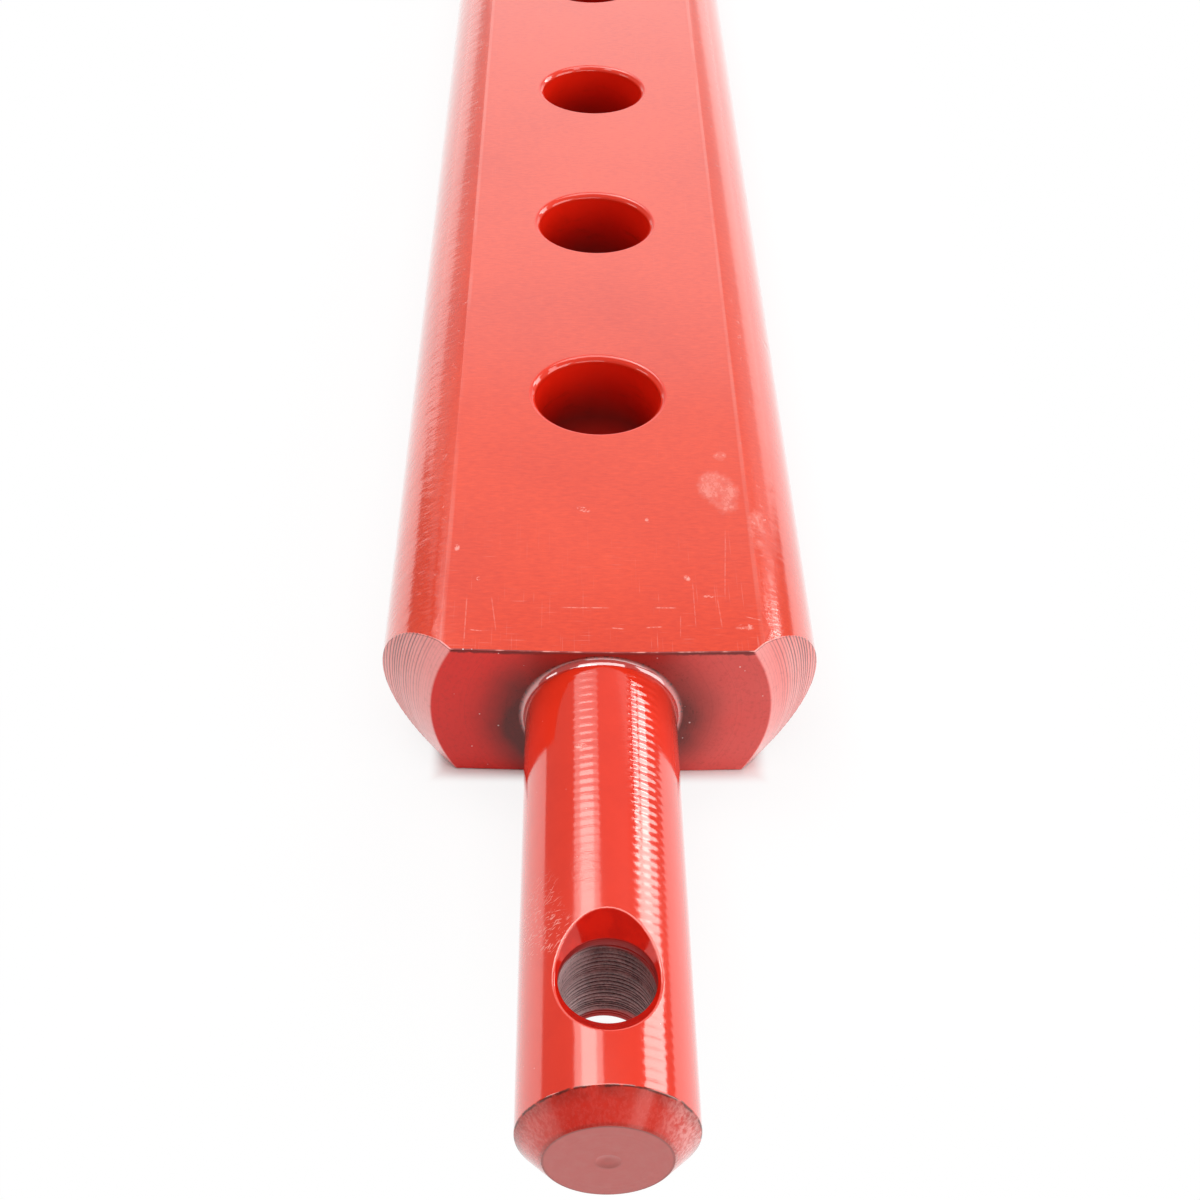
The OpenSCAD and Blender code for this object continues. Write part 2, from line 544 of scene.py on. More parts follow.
edge_rows = [quarter_run - arc_run * i / (edge_steps - 1) for i in range(edge_steps)]
edge_rows += [crease_y + crease_run * i / crease_steps for i in (3, 2, 1)]
for sign_y in (1, -1):
    def edge_spot(spot, run, sign_z):
        return (spot[0].x, sign_z * (quarter_run - run)) + spot

    steps = [(run, sign_y, -1) for run in quarter_runs[:-1] if run >= crease_y]
    steps += [(run, sign_y, 1) for run in reversed(quarter_runs) if run >= crease_y]
    border = []
    for end in (1, -1):
        for step in (steps if end > 0 else reversed(steps)):
            border.append(edge_spot(at_end(end, rims[step][-1]), step[0], step[2]))
        line = [edge_spot(long_spot(x, crease_y, sign_y, end), crease_y, end) for x in long_xs[1:-1]]
        border += line if end < 0 else reversed(line)
    loose = []
    for run in edge_rows:
        nearest = min(quarter_runs, key=lambda other: abs(other - run))
        reach = rims[(nearest, 1, 1)][-1][0].x
        for x in long_xs[1:-1]:
            if abs(x) < reach - 1.0:
                for sign_z in (1, -1) if run < quarter_run else (1,):
                    loose.append(edge_spot(long_spot(x, run, sign_y, sign_z), run, sign_z))
    knit([border], [], loose, "rolled_enamel")


# Red enamel on the rolled faces: two coats sprayed over mill scale, glossy, with the scale's ripple
# under them. It is scuffed where the bar has been handled, and scratched near the shoulder by the
# lower link. A broken painted highlight runs along the creases of the top.
WARM_RED = (0.88, 0.062, 0.014)
DARK_RED = (0.64, 0.022, 0.005)
gloss_tint = (1.0, 0.86, 0.80, 1)
rolled = Finish("rolled_enamel", IOR=1.8, Specular_Tint=gloss_tint,
                Coat_Weight=1.0, Coat_IOR=1.5, Coat_Roughness=0.12)
x, y, z, place = abs(rolled.x), rolled.y, rolled.z, rolled.place


def turned_about(x, y, at, turn):
    """Distances from a place, along a direction turned by degrees from x, and across it."""
    c, s = math.cos(math.radians(turn)), math.sin(math.radians(turn))
    return (x - at[0]) * c + (y - at[1]) * s, (y - at[1]) * c - (x - at[0]) * s


def blot(x, y, at, size, turn=0.0):
    """A soft oval patch in the plane of x and y: where it is, its half sizes and its turn."""
    u, v = turned_about(x, y, at, turn)
    u, v = u / size[0], v / size[1]
    return 1 - (u * u + v * v).rise(0.1, 1.0)


def streak(x, y, at, long, width, turn=0.0):
    """A straight scratch: where its middle is, its length, its width and its turn."""
    u, v = turned_about(x, y, at, turn)
    return u.band(0, long * 0.30, long * 0.20) * v.band(0, width * 0.2, width * 0.5)


def chipping(place):
    """The noise that makes chips and scratches ragged."""
    return place.grain(0.9, 3.0, 0.7, shift=(6, 2, 9))


on_top = z.rise(flat_z - 1.2, flat_z - 0.1)
near_shoulder = x.rise(306, 338)
fine = place.grain(0.5, 3.0, 0.6, (1, 3, 1))
fibre = place.grain(0.40, 4.0, 0.7, (1, 4, 1))
broad = place.grain(30, 3.0)
weave = (broad - 0.42) * 0.9 + (fibre - 0.5) * 1.1 + (fine - 0.5) * 0.6 + 0.42
colour = weave.over(WARM_RED, DARK_RED)

# Hair scratches lie all over, and the deeper ones and the chips are near the shoulder.
hairs_across = place.grain(0.16, 0.0, 0.5, (1, 30, 1)).rise(0.72, 0.84)
hairs_along = place.grain(0.16, 0.0, 0.5, (70, 1, 1), (3.1, 7.7, 0)).rise(0.72, 0.84)
patchy = place.grain(5, shift=(9, 4, 0)).rise(0.38, 0.62)
scratched = (hairs_across + hairs_along) * patchy * (0.03 + near_shoulder * 0.26)
across = [((332.6, -2.4), 7.6, 0.24, 90), ((332.5, 9.2), 3.4, 0.30, 90), ((336.9, 2.2), 2.0, 0.25, 84),
          ((336.6, 7.4), 2.6, 0.25, 95), ((337.5, -18.0), 2.0, 0.2, 82), ((336.6, 20.4), 3.0, 0.45, 90),
          ((334.6, 21.8), 2.6, 0.2, 72)]
along = [((322.6, 18.5), 17.0, 0.16, -4), ((333.5, 17.0), 7.0, 0.18, 3), ((335.6, -19.6), 12.0, 0.18, 0),
         ((334.0, -15.6), 8.0, 0.16, 7), ((331.5, 13.4), 11.0, 0.14, 0), ((336.4, 11.2), 5.0, 0.14, -3),
         ((305.6, 16.6), 2.2, 0.30, 0)]
chips = [((310.4, -2.6), (1.3, 0.7), 60), ((326.0, 12.6), (0.9, 0.5), 30), ((312.8, 7.2), (0.7, 0.45), 0),
         ((330.0, 15.6), (0.9, 0.4), 90), ((326.5, -18.1), (0.5, 0.35), 0), ((319.6, -21.6), (0.9, 0.5), 0),
         ((336.4, 20.6), (0.8, 1.3), 0)]
broken_line = chipping(place).rise(0.26, 0.62)
broken_edge = chipping(place).rise(0.44, 0.60)
for strength, marks in ((0.42, across), (0.26, along)):
    for mark in marks:
        scratched = scratched.most(streak(x, y, *mark) * broken_line * strength)
for chip in chips:
    scratched = scratched.most(blot(x, y, *chip) * broken_edge * 0.8)

scuffs = [((305.6, 18.8), (7.5, 4.2), 10), ((296.6, 19.4), (2.2, 1.6), 0), ((314.6, 24.4), (7.5, 2.6), 0),
          ((330.0, 25.6), (9.0, 1.8), 0)]
scuffed = blot(x, y, *scuffs[0])
for scuff in scuffs[1:]:
    scuffed = scuffed.most(blot(x, y, *scuff))
scuffed = (scuffed + (place.grain(4.5, 4.0, 0.7, shift=(2, 5, 1)) - 0.5) * 2.4).rise(0.50, 1.35)
scuffed = scuffed * (place.grain(0.8, 4.0, 0.7, (2.0, 1, 1), (2, 5, 1)).rise(0.30, 0.80) * 0.50 + 0.22)
# Painted highlight: a broken pale line along each crease of the top flat, laid in with the wear.
highlight_lengths = place.grain(9, 3.0, 0.6, (3, 1, 1)).rise(0.30, 0.6)
crease_highlight = abs(y).band(crease_y - 0.05, 0.10, 0.40) * highlight_lengths * 0.16
wear_and_highlight = (scratched.most(scuffed) + crease_highlight) * on_top
on_edge = abs(y).rise(crease_y - 0.3, crease_y + 2.0)
rolled.set(Base_Color=wear_and_highlight.over(colour, SCUFF_AND_HIGHLIGHT), Roughness=0.15 - on_edge * 0.05 + fine * 0.04 + wear_and_highlight * 0.35)

# The rolled edges keep the ripple, pits and dents of the mill, more of them on the left.
left_edge = 1 - y.rise(-crease_y - 1, -crease_y + 1)
ripple = place.grain(0.9, 2.0, 0.55, (1, 2.6, 2.6)) * on_edge * (0.4 + left_edge * 0.6)
dents = place.grain(3.2, stretch=(1, 1.6, 1.6)) * on_edge * (0.5 + left_edge * 0.9)
pits = place.grain(1.4).rise(0.66, 0.78) * abs(y).band(crease_y + 1.2, 1.0, 1.2)
notches = blot(x, abs(y - 31.0), (256.6, 0), (1.3, 1.2)) + blot(x, abs(y - 31.6), (202.0, 0), (1.6, 1.2))
swell = place.grain(14, stretch=(2, 1, 1))
rolled.set(Normal=(ripple + dents * 1.6 - pits * 0.8 - notches * 1.5
                   + fibre * 0.12 + fine * 0.06 + swell * 1.2).relief(0.07))


# The link pins: each end of the bar turned down to a round pin for the tractor's lower link.
# A small fillet joins it to the shoulder, and its end is chamfered, faced and centre-marked.
pin_chamfer = 3.3
end_round = 0.3
linch_x = end_x - 19.0
fillet_steps = 6
centre_mark_r, centre_mark_depth, centre_mark_round = 1.5, 0.4, 0.25
pin_start = shoulder_x + face_slope * (face_r - pin_r - root_round) + root_round * math.hypot(1, face_slope)
pin_stop = end_x - pin_chamfer - end_round * math.tan(math.pi / 8)


def rounded(profile, radii, steps=4):
    """Rows (r, h, nr, nh) along an outline of (r, h) corners, rounded, with the metal on its left."""
    points = [Vector(p) for p in profile]
    ways = [(after - before).normalized() for before, after in zip(points, points[1:])]
    sides = [Vector((way.y, -way.x)) for way in ways]
    rows = [(*points[0], *sides[0])]
    for i, radius in enumerate(radii):
        before, after = sides[i], sides[i + 1]
        reach = radius if ways[i].cross(ways[i + 1]) > 0 else -radius
        middle = points[i + 1] - reach * (before + after) / (1 + before.dot(after))
        for k in range(steps):
            normal = before.slerp(after, k / (steps - 1))
            rows.append((*(middle + reach * normal), *normal))
    return rows + [(*points[-1], *sides[-1])]


def lathe(rows, columns, sweep, finish):
    """Sweeps rows round an axis. A row is (r, h, nr, nh), and sweep(r, h, angle) puts it in space."""
    angles = [FULL_TURN * i / columns for i in range(columns)] + [0.0]
    rings = [[(sweep(r, h, a), sweep(nr, nh, a, True)) for a in angles] for r, h, nr, nh in rows]
    for ring, upper in zip(rings, rings[1:]):
        for i in range(columns):
            lay_four(ring[i], ring[i + 1], upper[i + 1], upper[i], finish)


def about_pin(end):
    return lambda r, h, a, way=False: Vector((end * h, r * math.cos(a), r * math.sin(a)))


fillet_rows = []
fillet_turn = math.pi / 2 - math.atan(face_slope)
for i in range(fillet_steps + 1):
    turn = fillet_turn * i / fillet_steps
    fillet_rows.append((pin_r + root_round * (1 - math.cos(turn)), pin_start - root_round * math.sin(turn),
                        math.cos(turn), math.sin(turn)))
end_profile = [(pin_r, pin_stop), (pin_r, end_x - pin_chamfer), (pin_r - pin_chamfer, end_x),
               (centre_mark_r, end_x), (0, end_x - centre_mark_depth)]

# Rows 0 to 2 finish the pin, rows 2 to 5 are the chamfer, and the rest are the end and its centre mark.
end_rows = rounded(end_profile, [end_round, end_round, centre_mark_round])[1:]
for end in (1, -1):
    lathe(fillet_rows, pin_columns, about_pin(end), "root_enamel")
    lathe(end_rows[:3], pin_columns, about_pin(end), "pin_enamel")
    lathe(end_rows[2:6], pin_columns, about_pin(end), "chamfer_enamel")
    lathe(end_rows[5:], pin_columns, about_pin(end), "end_enamel")


# Enamel on the pins: glossy over fine, even turning marks, which break its highlights into dashes.
# It is scratched beside the linchpin hole, and rubbed thin along the edge of the chamfer.
RED = (0.80, 0.032, 0.010)
feed = 1.42


def lip_edge(finish):
    """A thin, wavy and broken line along the outer edge of the end's chamfer."""
    wavy = abs(finish.x) + (finish.place.grain(2.5, 3.0, 0.6, shift=(2, 2, 2)) - 0.5) * 0.5
    worn_through = finish.place.grain(1.5, 3.0, 0.6).rise(0.36, 0.52)
    return wavy.band(end_x - pin_chamfer + 0.05, 0.05, 0.13) * worn_through


pin = Finish("pin_enamel", IOR=2.1, Specular_Tint=gloss_tint,
             Coat_Weight=1.0, Coat_IOR=1.27, Coat_Roughness=0.06)
x, y, z, place = abs(pin.x), pin.y, pin.z, pin.place
on_top = z.rise(0, 2)
cloud = place.grain(5, 3.0, 0.6)
rubbed = x.rise(366, 382) * (1 - x.rise(392, 400) * 0.6)
strokes = []
for turn, shift in ((62, 1.7), (35, 5.2), (100, 8.9)):
    turned = place.node("ShaderNodeVectorRotate", {"rotation_type": "Z_AXIS"},
                        Vector=place, Angle=math.radians(turn))
    strokes.append(turned.grain(0.17, 0.0, 0.5, (12, 1, 4), (shift, shift, shift)).rise(0.70, 0.80))
strokes = strokes[0].most(strokes[1]).most(strokes[2])
flecks = place.grain(0.35, 2.0, 0.6, shift=(4, 2, 8)).rise(0.62, 0.74)
beside_hole = (blot(x, y, (383.5, -8.4), (8.0, 3.4)) + blot(x, y, (387.0, -6.2), (4.0, 2.4))) * on_top
nick = blot(x, y, (357.8, -3.1), (1.0, 0.6), 75) * on_top * chipping(place).rise(0.40, 0.56)
scuffed = beside_hole * (strokes * 0.55 + flecks * 0.30) + nick
dust = place.node("ShaderNodeTexVoronoi", out="Distance", Vector=place, Scale=0.55)
dust = (1 - dust.rise(0.03, 0.06)) * place.grain(3, 1.0).rise(0.55, 0.62) * 0.5
colour = (cloud - 0.4).over(RED, DEEP_RED)
colour = scuffed.most(dust).over(colour, SCUFF_AND_HIGHLIGHT)
colour = (lip_edge(pin) * 0.8).over(colour, GRIME_AND_SHADE)
pin.set(Base_Color=colour, Roughness=0.07 + cloud * 0.04 + rubbed * 0.07 + scuffed * 0.4)

# The turning marks show where a strip of light falls along the pin, and wear off towards its end.
turning = place.math("SINE", x * (FULL_TURN / feed) + place.grain(9, 1.0, shift=(5, 5, 5)) * 1.6)
turning = turning * (0.35 + place.grain(6, 1.0, shift=(2, 6, 4)) * 0.75)
rows_of_marks = (y.band(5.5, 1.7, 0.8) * 0.90 + y.band(-2.9, 1.5, 1.0) * 0.28) * on_top
turning = turning * rows_of_marks * (1 - x.rise(350, 392) * 0.70)
fine_rings = x.layers(3.0)
brushed = blot(x, y, (379.0, -3.0), (5.0, 3.5)) * place.grain(0.22, 1.0, 0.5, (1, 5, 1)) * on_top
orange_peel = place.grain(0.9, shift=(1, 7, 1))
pin_relief = turning + fine_rings * 0.12 + orange_peel * 0.22 + brushed * 0.5 - scuffed * 0.3
pin.set(Normal=pin_relief.relief(0.035))

# On the chamfer the paint is thin and streaked, brown under its outer edge, and paled towards its sides,
# more on the right, as a painted sheen.
CHAMFER_RED = (0.62, 0.018, 0.008)
CHAMFER_DARK = (0.48, 0.012, 0.005)
warm_tint = (1.0, 0.62, 0.45, 1)
chamfer = Finish("chamfer_enamel", IOR=1.5, Specular_Tint=warm_tint,
                 Coat_Weight=0.7, Coat_IOR=1.5, Coat_Roughness=0.12)
y, place = chamfer.y, chamfer.place
cloud = place.grain(5, 3.0, 0.6)
streaks = place.grain(0.5, 3.0, 0.65, (2.5, 1, 1))
from_lip = abs(chamfer.x) - (end_x - pin_chamfer)
side_sheen = abs(y).rise(5.0, 9.5) * (0.20 + y.rise(-2, 2) * 0.42)
colour = ((cloud - 0.4) * 0.8).over(CHAMFER_RED, CHAMFER_DARK)
# Painted sheen: the streaks show pale towards the chamfer's sides, more on the right.
colour = (streaks.rise(0.32, 0.62) * (0.05 + side_sheen)).over(colour, CHALK_AND_SHEEN)
colour = ((1 - from_lip.rise(0.2, 1.6)) * cloud.rise(0.3, 0.6) * 0.35).over(colour, GRIME_AND_SHADE)
colour = (from_lip.rise(pin_chamfer - 0.45, pin_chamfer - 0.15) * 0.30).over(colour, GRIME_AND_SHADE)
colour = (lip_edge(chamfer) * 0.8).over(colour, GRIME_AND_SHADE)
chamfer.set(Base_Color=colour, Roughness=0.22 + streaks * 0.1,
            Normal=(streaks * 0.4 + cloud * 0.5).relief(0.03))

# The ends of the pins were faced off last and took the thinnest coat. Painted shade darkens the lower side
# of the centre mark.
THIN_COAT = (0.50, 0.065, 0.060)
THIN_PALE = (0.52, 0.22, 0.21)
THIN_RED = (0.50, 0.030, 0.024)
CENTRE_MARK_SHADE = (0.22, 0.05, 0.05)
end_finish = Finish("end_enamel", IOR=1.6, Specular_Tint=warm_tint,
                    Coat_Weight=0.35, Coat_IOR=1.75, Coat_Roughness=0.15)
y, z, place = end_finish.y, end_finish.z, end_finish.place
r = place.math("SQRT", y * y + z * z)
end_r = pin_r - pin_chamfer
cloud = place.grain(1.6, 4.0, 0.65)
rings = r.layers(2.4, 3.0)
colour = (cloud.rise(0.25, 0.85) * 0.25).over(THIN_COAT, THIN_PALE)
colour = ((1 - r.rise(0.3, 3.4)) * 0.30).over(colour, THIN_RED)
# Painted shade in the lower side of the centre mark.
colour = (r.band(1.3, 0.10, 0.5) * (1 - z.rise(-1.5, 0.5)) * 0.45).over(colour, CENTRE_MARK_SHADE)
colour = (r.rise(end_r - 0.35, end_r - 0.05) * 0.4).over(colour, GRIME_AND_SHADE)
end_finish.set(Base_Color=colour, Roughness=0.36 + cloud * 0.2,
               Normal=(rings * 0.5 + cloud * 0.6).relief(0.03))


# The linchpin holes: drilled down through each pin and countersunk at both mouths.
# The drill left rings in the bore, and little paint reached it.
linch_r = 6.0
sink_depth = 2.7
sink_foot = pin_r - sink_depth
linch_columns = 72
saddle_round = 0.35
foot_round = 0.3
round_steps = 4


def saddle(angle):
    """(place, normal) rows over the rounded edge of the countersink, at one angle of the hole."""
    side = math.sin(angle) ** 2
    gap = sink_foot - linch_r
    root_of = math.sqrt((gap * side) ** 2 - (1 + side) * (gap * gap * side - pin_r ** 2))
    z = (gap * side + root_of) / (1 + side)
    r = z - gap
    y = r * math.sin(angle)
    on_pin = Vector((0, y, z)) / pin_r
    on_sink = Vector((-math.cos(angle), -math.sin(angle), 1)) / math.sqrt(2)
    middle = Vector((linch_x + r * math.cos(angle), y, z))
    middle -= saddle_round * (on_pin + on_sink) / (1 + on_pin.dot(on_sink))
    rows = []
    for i in range(round_steps + 1):
        normal = on_pin.slerp(on_sink, i / round_steps)
        rows.append((middle + saddle_round * normal, normal))
    return rows


# The bore's profile: the rounded foot of the countersink, then the drill's marks down to the other one.
bore_rows = []
bore_top = sink_foot - foot_round * math.tan(math.pi / 8)
for i in range(round_steps + 1):
    turn = math.pi / 4 * (1 - i / round_steps)
    bore_rows.append((linch_r + foot_round * (1 - math.cos(turn)), bore_top + foot_round * math.sin(turn),
                      -math.cos(turn), math.sin(turn)))
foot_rows = bore_rows[:]
drill_dice = random.Random(3)
drill_marks, z = [], bore_top - 1.2
while z > 0.5 - bore_top:
    drill_marks.append((z, drill_dice.uniform(0.05, 0.12), drill_dice.uniform(0.050, 0.075)))
    z -= drill_dice.choice((0.38, 0.50, 0.62, 0.80, 1.10))
marked_rows = []
for mark, depth, width in drill_marks:
    for step in mark_steps:
        z = mark - step * width
        dips = [(d * math.exp(-((z - m) / w) ** 2), m, w) for m, d, w in drill_marks]
        slope = sum(dip * 2 * (m - z) / w ** 2 for dip, m, w in dips)
        size = math.hypot(1, slope)
        marked_rows.append((linch_r + sum(dip for dip, m, w in dips), z, -1 / size, slope / size))
bore_rows += sorted(marked_rows, key=lambda row: -row[1])
bore_rows += [(r, -z, nr, -nz) for r, z, nr, nz in reversed(foot_rows)]


def drill_darkness(spot):
    """How deep in a drill mark a place in the bore is, from 0 to 1."""
    if math.hypot(abs(spot.x) - linch_x, spot.y) > linch_r + 0.2:
        return 0.0
    return sum(min(1.0, depth / full_mark) * math.exp(-((spot.z - mark) / width) ** 2)
               for mark, depth, width in drill_marks if abs(spot.z - mark) < 4 * width)


linch_angles = [FULL_TURN * i / linch_columns for i in range(linch_columns)]
saddles = [saddle(angle) for angle in linch_angles]
pin_steps = 30
pin_xs = [pin_start + (pin_stop - pin_start) * i / pin_steps for i in range(pin_steps + 1)]
half_columns = pin_columns // 2
clear_of_saddle = 0.3
for end in (1, -1):
    def on_side(sign_z, spot):
        """A place and its normal on the near pin, carried to this end and to this side of the pin."""
        return tuple(Vector((end * v.x, v.y, sign_z * v.z)) for v in spot)

    def about_hole(r, h, a, way=False):
        return Vector((end * ((0 if way else linch_x) + r * math.cos(a)), r * math.sin(a), h))

    lathe(bore_rows, linch_columns, about_hole, "bare_bore")
    for sign_z in (1, -1):
        foot_r, foot_z, foot_out, foot_up = bore_rows[0]
        feet = [(about_hole(foot_r, sign_z * foot_z, a), about_hole(foot_out, sign_z * foot_up, a, True))
                for a in linch_angles]
        for i in range(linch_columns):
            j = (i + 1) % linch_columns
            rows, next_rows = ([on_side(sign_z, spot) for spot in saddles[m]] for m in (i, j))
            for k in range(round_steps):
                lay_four(rows[k], next_rows[k], next_rows[k + 1], rows[k + 1], "pin_enamel")
            lay_four(rows[-1], next_rows[-1], feet[j], feet[i], "sink_enamel")

        def pin_spot(x, column):
            turn = math.pi * column / half_columns
            normal = Vector((0, math.cos(sign_z * turn), math.sin(sign_z * turn)))
            return x, pin_r * turn, Vector((end * x, pin_r * normal.y, pin_r * normal.z)), normal

        mouth = []
        for rows in saddles:
            place = rows[0][0]
            mouth.append((place.x, pin_r * math.atan2(place.z, place.y)) + on_side(sign_z, rows[0]))
        columns = range(1, half_columns)
        edge = [pin_spot(x, 0) for x in pin_xs] + [pin_spot(pin_stop, column) for column in columns]
        edge += [pin_spot(x, half_columns) for x in reversed(pin_xs)]
        edge += [pin_spot(pin_start, column) for column in reversed(columns)]
        loose = []
        for x in pin_xs[1:-1]:
            for column in columns:
                spot = pin_spot(x, column)
                near = min(math.hypot(spot[0] - m[0], spot[1] - m[1]) for m in mouth)
                if near > clear_of_saddle and not within([mouth], spot[0], spot[1]):
                    loose.append(spot)
        knit([edge, mouth], [], loose, "pin_enamel")


# The paint lies thick and wet-looking in the countersinks.
WET_RED = (0.64, 0.010, 0.003)
WET_DARK = (0.46, 0.005, 0.002)
sink = Finish("sink_enamel", IOR=1.35, Specular_Tint=(1.0, 0.4, 0.3, 1),
              Coat_Weight=0.3, Coat_IOR=1.45, Coat_Roughness=0.05)
pooled = sink.place.grain(1.6)
uneven = sink.place.grain(3, 3.0, 0.6).rise(0.35, 0.65) * 0.6
sink.set(Base_Color=uneven.over(WET_RED, WET_DARK),
         Roughness=0.10 + pooled * 0.08, Normal=(pooled * 1.5).relief(0.04))

# Bare steel in the bore, browned and gritty, with paint that ran in at the mouths. Its left wall is
# lightened with painted light.
BROWNED = (0.13, 0.046, 0.044)
STEEL = (0.52, 0.25, 0.24)
PAINTED_LIGHT_STEEL = (1.0, 0.76, 0.76)
DRILL_LINE = (0.035, 0.014, 0.012)
DRILL_MARK = (0.020, 0.004, 0.004)
RUN_IN_RED = (0.50, 0.010, 0.004)
bore = Finish("bare_bore", Metallic=0.35)
y, z, place = bore.y, bore.z, bore.place
grit = place.grain(0.35, 3.0, 0.7)
stain = place.grain(3.0, 3.0, 0.6, (1, 1, 0.5))
lines = z.layers(5.5, 3.0)
marked = place.node("ShaderNodeAttribute", {"attribute_name": "tool_mark"}, out="Fac")
broken = place.grain(1.2, 2.0, 0.6, (1, 1, 0.4), (5, 1, 5)).rise(0.30, 0.52)
painted = 1 - (bore_top - abs(z) - y.rise(-4, 5) - stain * 1.2).rise(0.0, 0.9)
colour = (stain.rise(0.36, 0.66) * 0.5 + grit.rise(0.35, 0.65) * 0.5).over(BROWNED, STEEL)
# Painted light: the grit on the left wall of the bore is lightened, as if lit from the right.
colour = ((1 - y.rise(-5.8, -1.0)) * grit.rise(0.22, 0.46)).over(colour, PAINTED_LIGHT_STEEL)
colour = (lines.rise(0.60, 0.68) * 0.35).over(colour, DRILL_LINE)
colour = (marked * (0.35 + broken * 0.6)).over(colour, DRILL_MARK)
colour = painted.over(colour, RUN_IN_RED)
bore.set(Base_Color=colour, Roughness=0.38 + grit * 0.2, Normal=(grit * 0.5 + lines * 0.6).relief(0.03))


# The hitch holes: a row drilled straight through the flats for the ball or the implement's pin.
# Both mouths are lightly chamfered, and the paint makes a soft bead round them.
hole_profile = [(mouth_r, flat_z), (hole_r + hole_chamfer, flat_z), (hole_r, flat_z - hole_chamfer),
                (hole_r, hole_chamfer - flat_z), (hole_r + hole_chamfer, -flat_z), (mouth_r, -flat_z)]
hole_rows = rounded(hole_profile, [mouth_round] * 4)[1:-1]
for x in holes_x:
    def about_bore(r, h, a, way=False):
        return Vector(((0 if way else x) + r * math.cos(a), r * math.sin(a), h))

    lathe(hole_rows, hole_columns, about_bore, "hole_enamel")


# Enamel in the hitch holes: full and glossy at the mouths, and darkened halfway down by painted shade.
HOLE_RED = (0.86, 0.014, 0.003)
HOLE_SHADE = (0.10, 0.001, 0.001)
HOLE_STAIN = (0.08, 0.002, 0.001)
hole = Finish("hole_enamel", IOR=1.3, Specular_Tint=warm_tint, Coat_IOR=1.75, Coat_Roughness=0.05)
place = hole.place
depth = flat_z - abs(hole.z)
cloud = place.grain(4, 3.0, 0.6, (1, 1, 0.3))
colour = (depth.rise(0.5, 1.4) * 0.9).over(RED, HOLE_RED)
# Painted shade deep in the hole, darkest halfway down.
colour = (depth.rise(2.0, 16.0) * 0.97).over(colour, HOLE_SHADE)
colour = (cloud.rise(0.5, 0.8) * depth.rise(2, 8) * 0.3).over(colour, HOLE_STAIN)
hole.set(Base_Color=colour, Coat_Weight=1 - depth.rise(0.9, 1.6), Roughness=0.30 + cloud * 0.2,
         Normal=(place.grain(2.0, stretch=(1, 1, 3)) * 0.8).relief(0.04))


# The finished drawbar: the skin made into one mesh.
skin = bpy.data.meshes.new("drawbar_body")
skin.from_pydata([spot * MM for spot in places], [], facets)
skin.polygons.foreach_set("use_smooth", [True] * len(facets))
finish_names = sorted(set(facet_finish))
for name in finish_names:
    skin.materials.append(bpy.data.materials[name])
skin.polygons.foreach_set("material_index", [finish_names.index(name) for name in facet_finish])
marked = skin.attributes.new("tool_mark", "FLOAT", "POINT")
marked.data.foreach_set("value", [max(mark_darkness(spot), drill_darkness(spot)) for spot in places])
rimmed = skin.attributes.new("rim", "FLOAT", "POINT")
rimmed.data.foreach_set("value", [rim_share.get(i, 0.0) for i in range(len(places))])
skin.normals_split_custom_set_from_vertices(normals)
body = bpy.data.objects.new("drawbar_body", skin)
bpy.context.scene.collection.objects.link(body)
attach(body, "root")
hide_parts("drawbar")


# The floor: a wide sheet of white paper that the drawbar lies on. It shows white away from the bar,
# and keeps the bar's shadow close to it.
floor_half = 6.0
floor_z = low.z * MM
floor_corners = [(x * floor_half, y * floor_half, floor_z) for x, y in ((-1, -1), (1, -1), (1, 1), (-1, 1))]
floor_mesh = bpy.data.meshes.new("floor")
floor_mesh.from_pydata(floor_corners, [], [(0, 1, 2, 3)])
floor = bpy.data.objects.new("floor", floor_mesh)
bpy.context.scene.collection.objects.link(floor)
paper = Finish("white_paper", Base_Color=(0.9, 0.9, 0.9, 1), Roughness=0.9)
place = paper.place
seen = place.node("ShaderNodeLightPath", out="Is Camera Ray")
mirrored = place.node("ShaderNodeLightPath", out="Is Glossy Ray")
passed = place.node("ShaderNodeLightPath", out="Is Transmission Ray")
beyond = (abs(paper.x) - shoulder_x).most(abs(paper.y) - crease_y)
glow = (seen * (beyond.rise(0, 3) * 0.86 + beyond.rise(3, 70) * 0.14)).most(
    mirrored.most(passed) * beyond.rise(0, 3))
white = place.node("ShaderNodeEmission", Color=(1, 1, 1, 1), Strength=1.0)
lit = Wire(paper.material.node_tree, paper.shader.outputs[0])
sheet = place.node("ShaderNodeMixShader", Fac=glow, Shader=lit, Shader_001=white)
sheet.tree.links.new(sheet.socket, sheet.tree.nodes["Material Output"].inputs["Surface"])
floor_mesh.materials.append(paper.material)


# The studio: soft boxes ahead of the near link pin and around it, and strips beside the bar, in a
# grey room. The gloss on the paint is their reflection.
pin_middle = Vector((linch_x * MM, 0, 0))


def rectangle(name, middle, facing_way, along, long, tall, brightness):
    """An area lamp at a place, facing back along a direction, its long side along another."""
    lamp = bpy.data.lights.new(name, "AREA")
    lamp.shape = "RECTANGLE"
    lamp.size, lamp.size_y = long, tall
    lamp.energy = brightness * math.pi * long * tall
    box = bpy.data.objects.new(name, lamp)
    side = (along - facing_way * along.dot(facing_way)).normalized()
    box.matrix_world = Matrix((side, facing_way.cross(side), facing_way)).transposed().to_4x4()
    box.location = middle
    box.visible_camera = False
    bpy.context.scene.collection.objects.link(box)


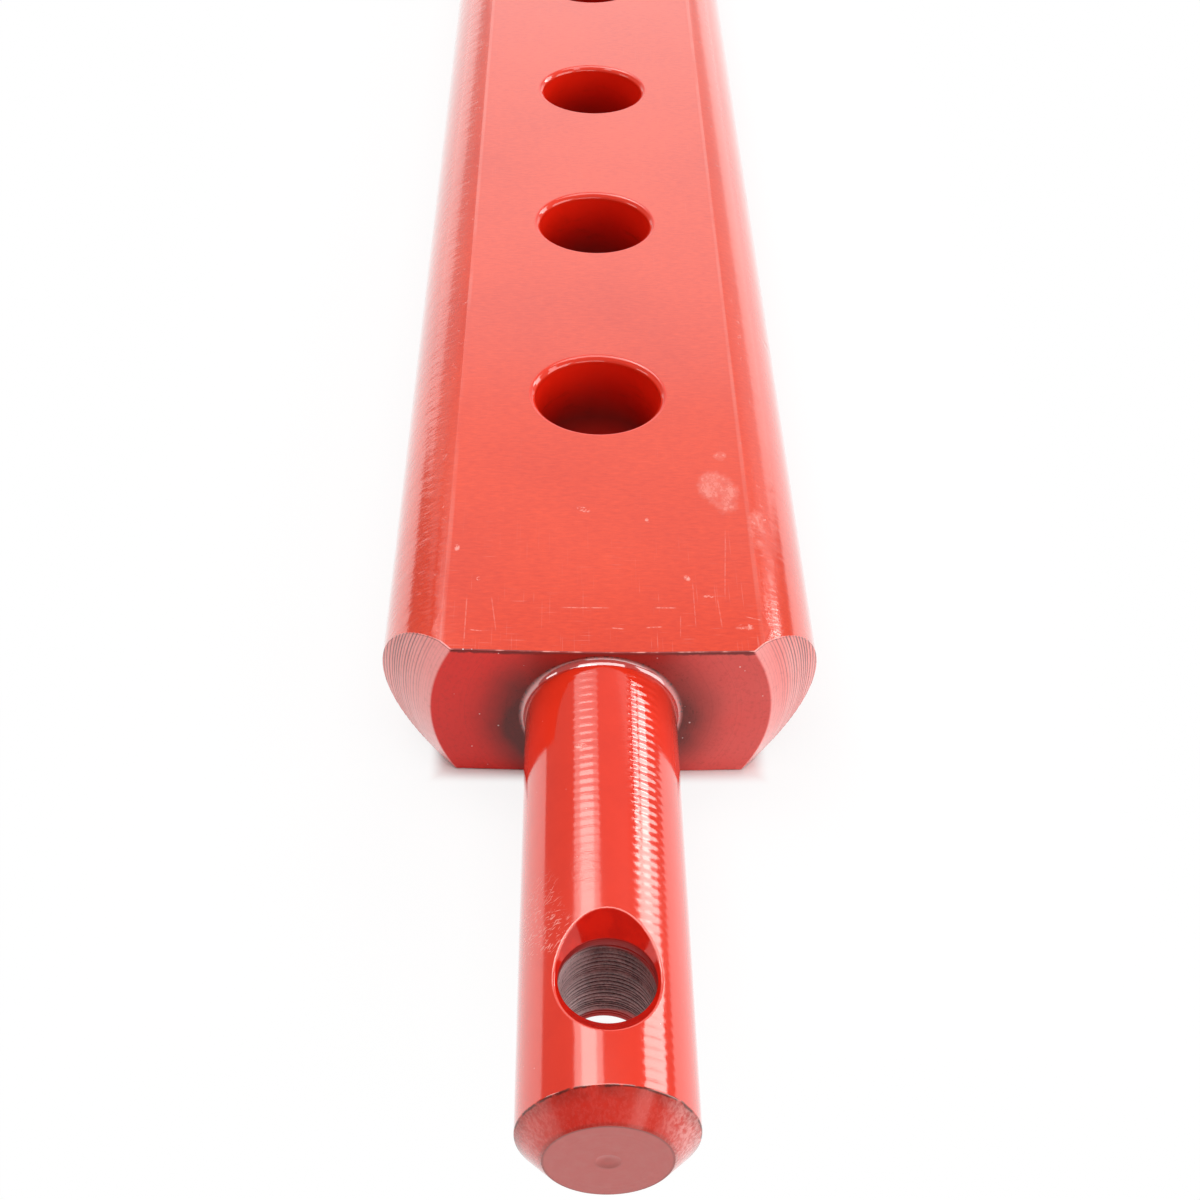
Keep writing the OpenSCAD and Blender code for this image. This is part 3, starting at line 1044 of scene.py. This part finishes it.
def soft_box(name, to_right, up, away, wide, tall, brightness):
    """A box that the pin sees some degrees to the right and up, and that covers so many degrees."""
    turn, lift = math.radians(to_right), math.radians(up)
    way = Vector((-math.cos(lift) * math.cos(turn), math.cos(lift) * math.sin(turn), math.sin(lift)))
    level = Vector((-way.y, way.x, 0))
    long, high = (2 * away * math.tan(math.radians(angle / 2)) for angle in (wide, tall))
    rectangle(name, pin_middle + way * away, way, level, long, high, brightness)


strip_away = 1.5


def strip(name, start, stop, lean_from, lean_to, brightness):
    """A box along the bar from start to stop, between two leans from upright in degrees."""
    lean = math.radians((lean_from + lean_to) / 2)
    half = math.radians((lean_to - lean_from) / 2)
    way = Vector((0, math.sin(lean), math.cos(lean)))
    middle = way * strip_away + Vector(((start + stop) / 2, 0, 0))
    wide = 2 * strip_away * math.tan(half)
    rectangle(name, middle, way, Vector((1, 0, 0)), stop - start, wide, brightness)


strip("right_hot_inner", -1.13, -0.84, 44.5, 52.0, 7.0)
strip("right_hot_outer", -1.13, -0.84, 55.0, 67.0, 7.0)
strip("right_dim", -0.84, -0.40, 46, 76, 3.5)
strip("left_wide", -1.30, 0.10, -42, -7, 0.60)
strip("left_outer", -0.94, 0.10, -42, -6, 0.9)
strip("left_inner", -0.97, 0.10, -33, -14, 1.7)
front_away = 2.6
soft_box("front_low", 1.5, 11, front_away, 26, 26, 0.79)
soft_box("front_left_low", -24.5, 4, front_away, 25, 12, 0.85)
soft_box("front_left_high", -24.5, 17, front_away, 25, 13, 0.30)
soft_box("front_right_low", 27, 4, front_away, 25, 12, 0.90)
soft_box("front_right_high", 27, 17, front_away, 25, 13, 0.38)
soft_box("front_mid", 0, 29, front_away, 26, 10, 0.76)
soft_box("front_mid_left", -22, 29, front_away, 17, 10, 0.20)
soft_box("front_mid_right", 22, 29, front_away, 17, 10, 0.28)
soft_box("front_upper", 0, 38, front_away, 56, 8, 0.37)
soft_box("front_high", 0, 47, front_away, 50, 10, 0.10)
soft_box("overhead", 0, 84, 2.0, 60, 44, 2.4)
soft_box("side_right", 104, 20, 1.8, 44, 40, 2.3)
soft_box("side_left", -93, 22, 1.8, 24, 16, 2.7)
soft_box("low_back", 165, 14, 2.0, 50, 20, 1.7)
room = bpy.data.worlds.new("room")
bpy.context.scene.world = room
room.use_nodes = True
room.node_tree.nodes["Background"].inputs["Color"].default_value = (0.20, 0.20, 0.20, 1)


# The camera looks down the bar from just beyond the near link pin.
lens = bpy.data.cameras.new("camera")
lens.sensor_width = 36
lens.lens = 50.67
lens.clip_start = 0.01
camera = bpy.data.objects.new("camera", lens)
camera.location = (0.51128, -0.00614, 0.17883)
camera.rotation_euler = tuple(math.radians(a) for a in (47.315, -1.281, 89.318))
bpy.context.scene.collection.objects.link(camera)
bpy.context.scene.camera = camera
bpy.context.scene.view_settings.view_transform = "Standard"
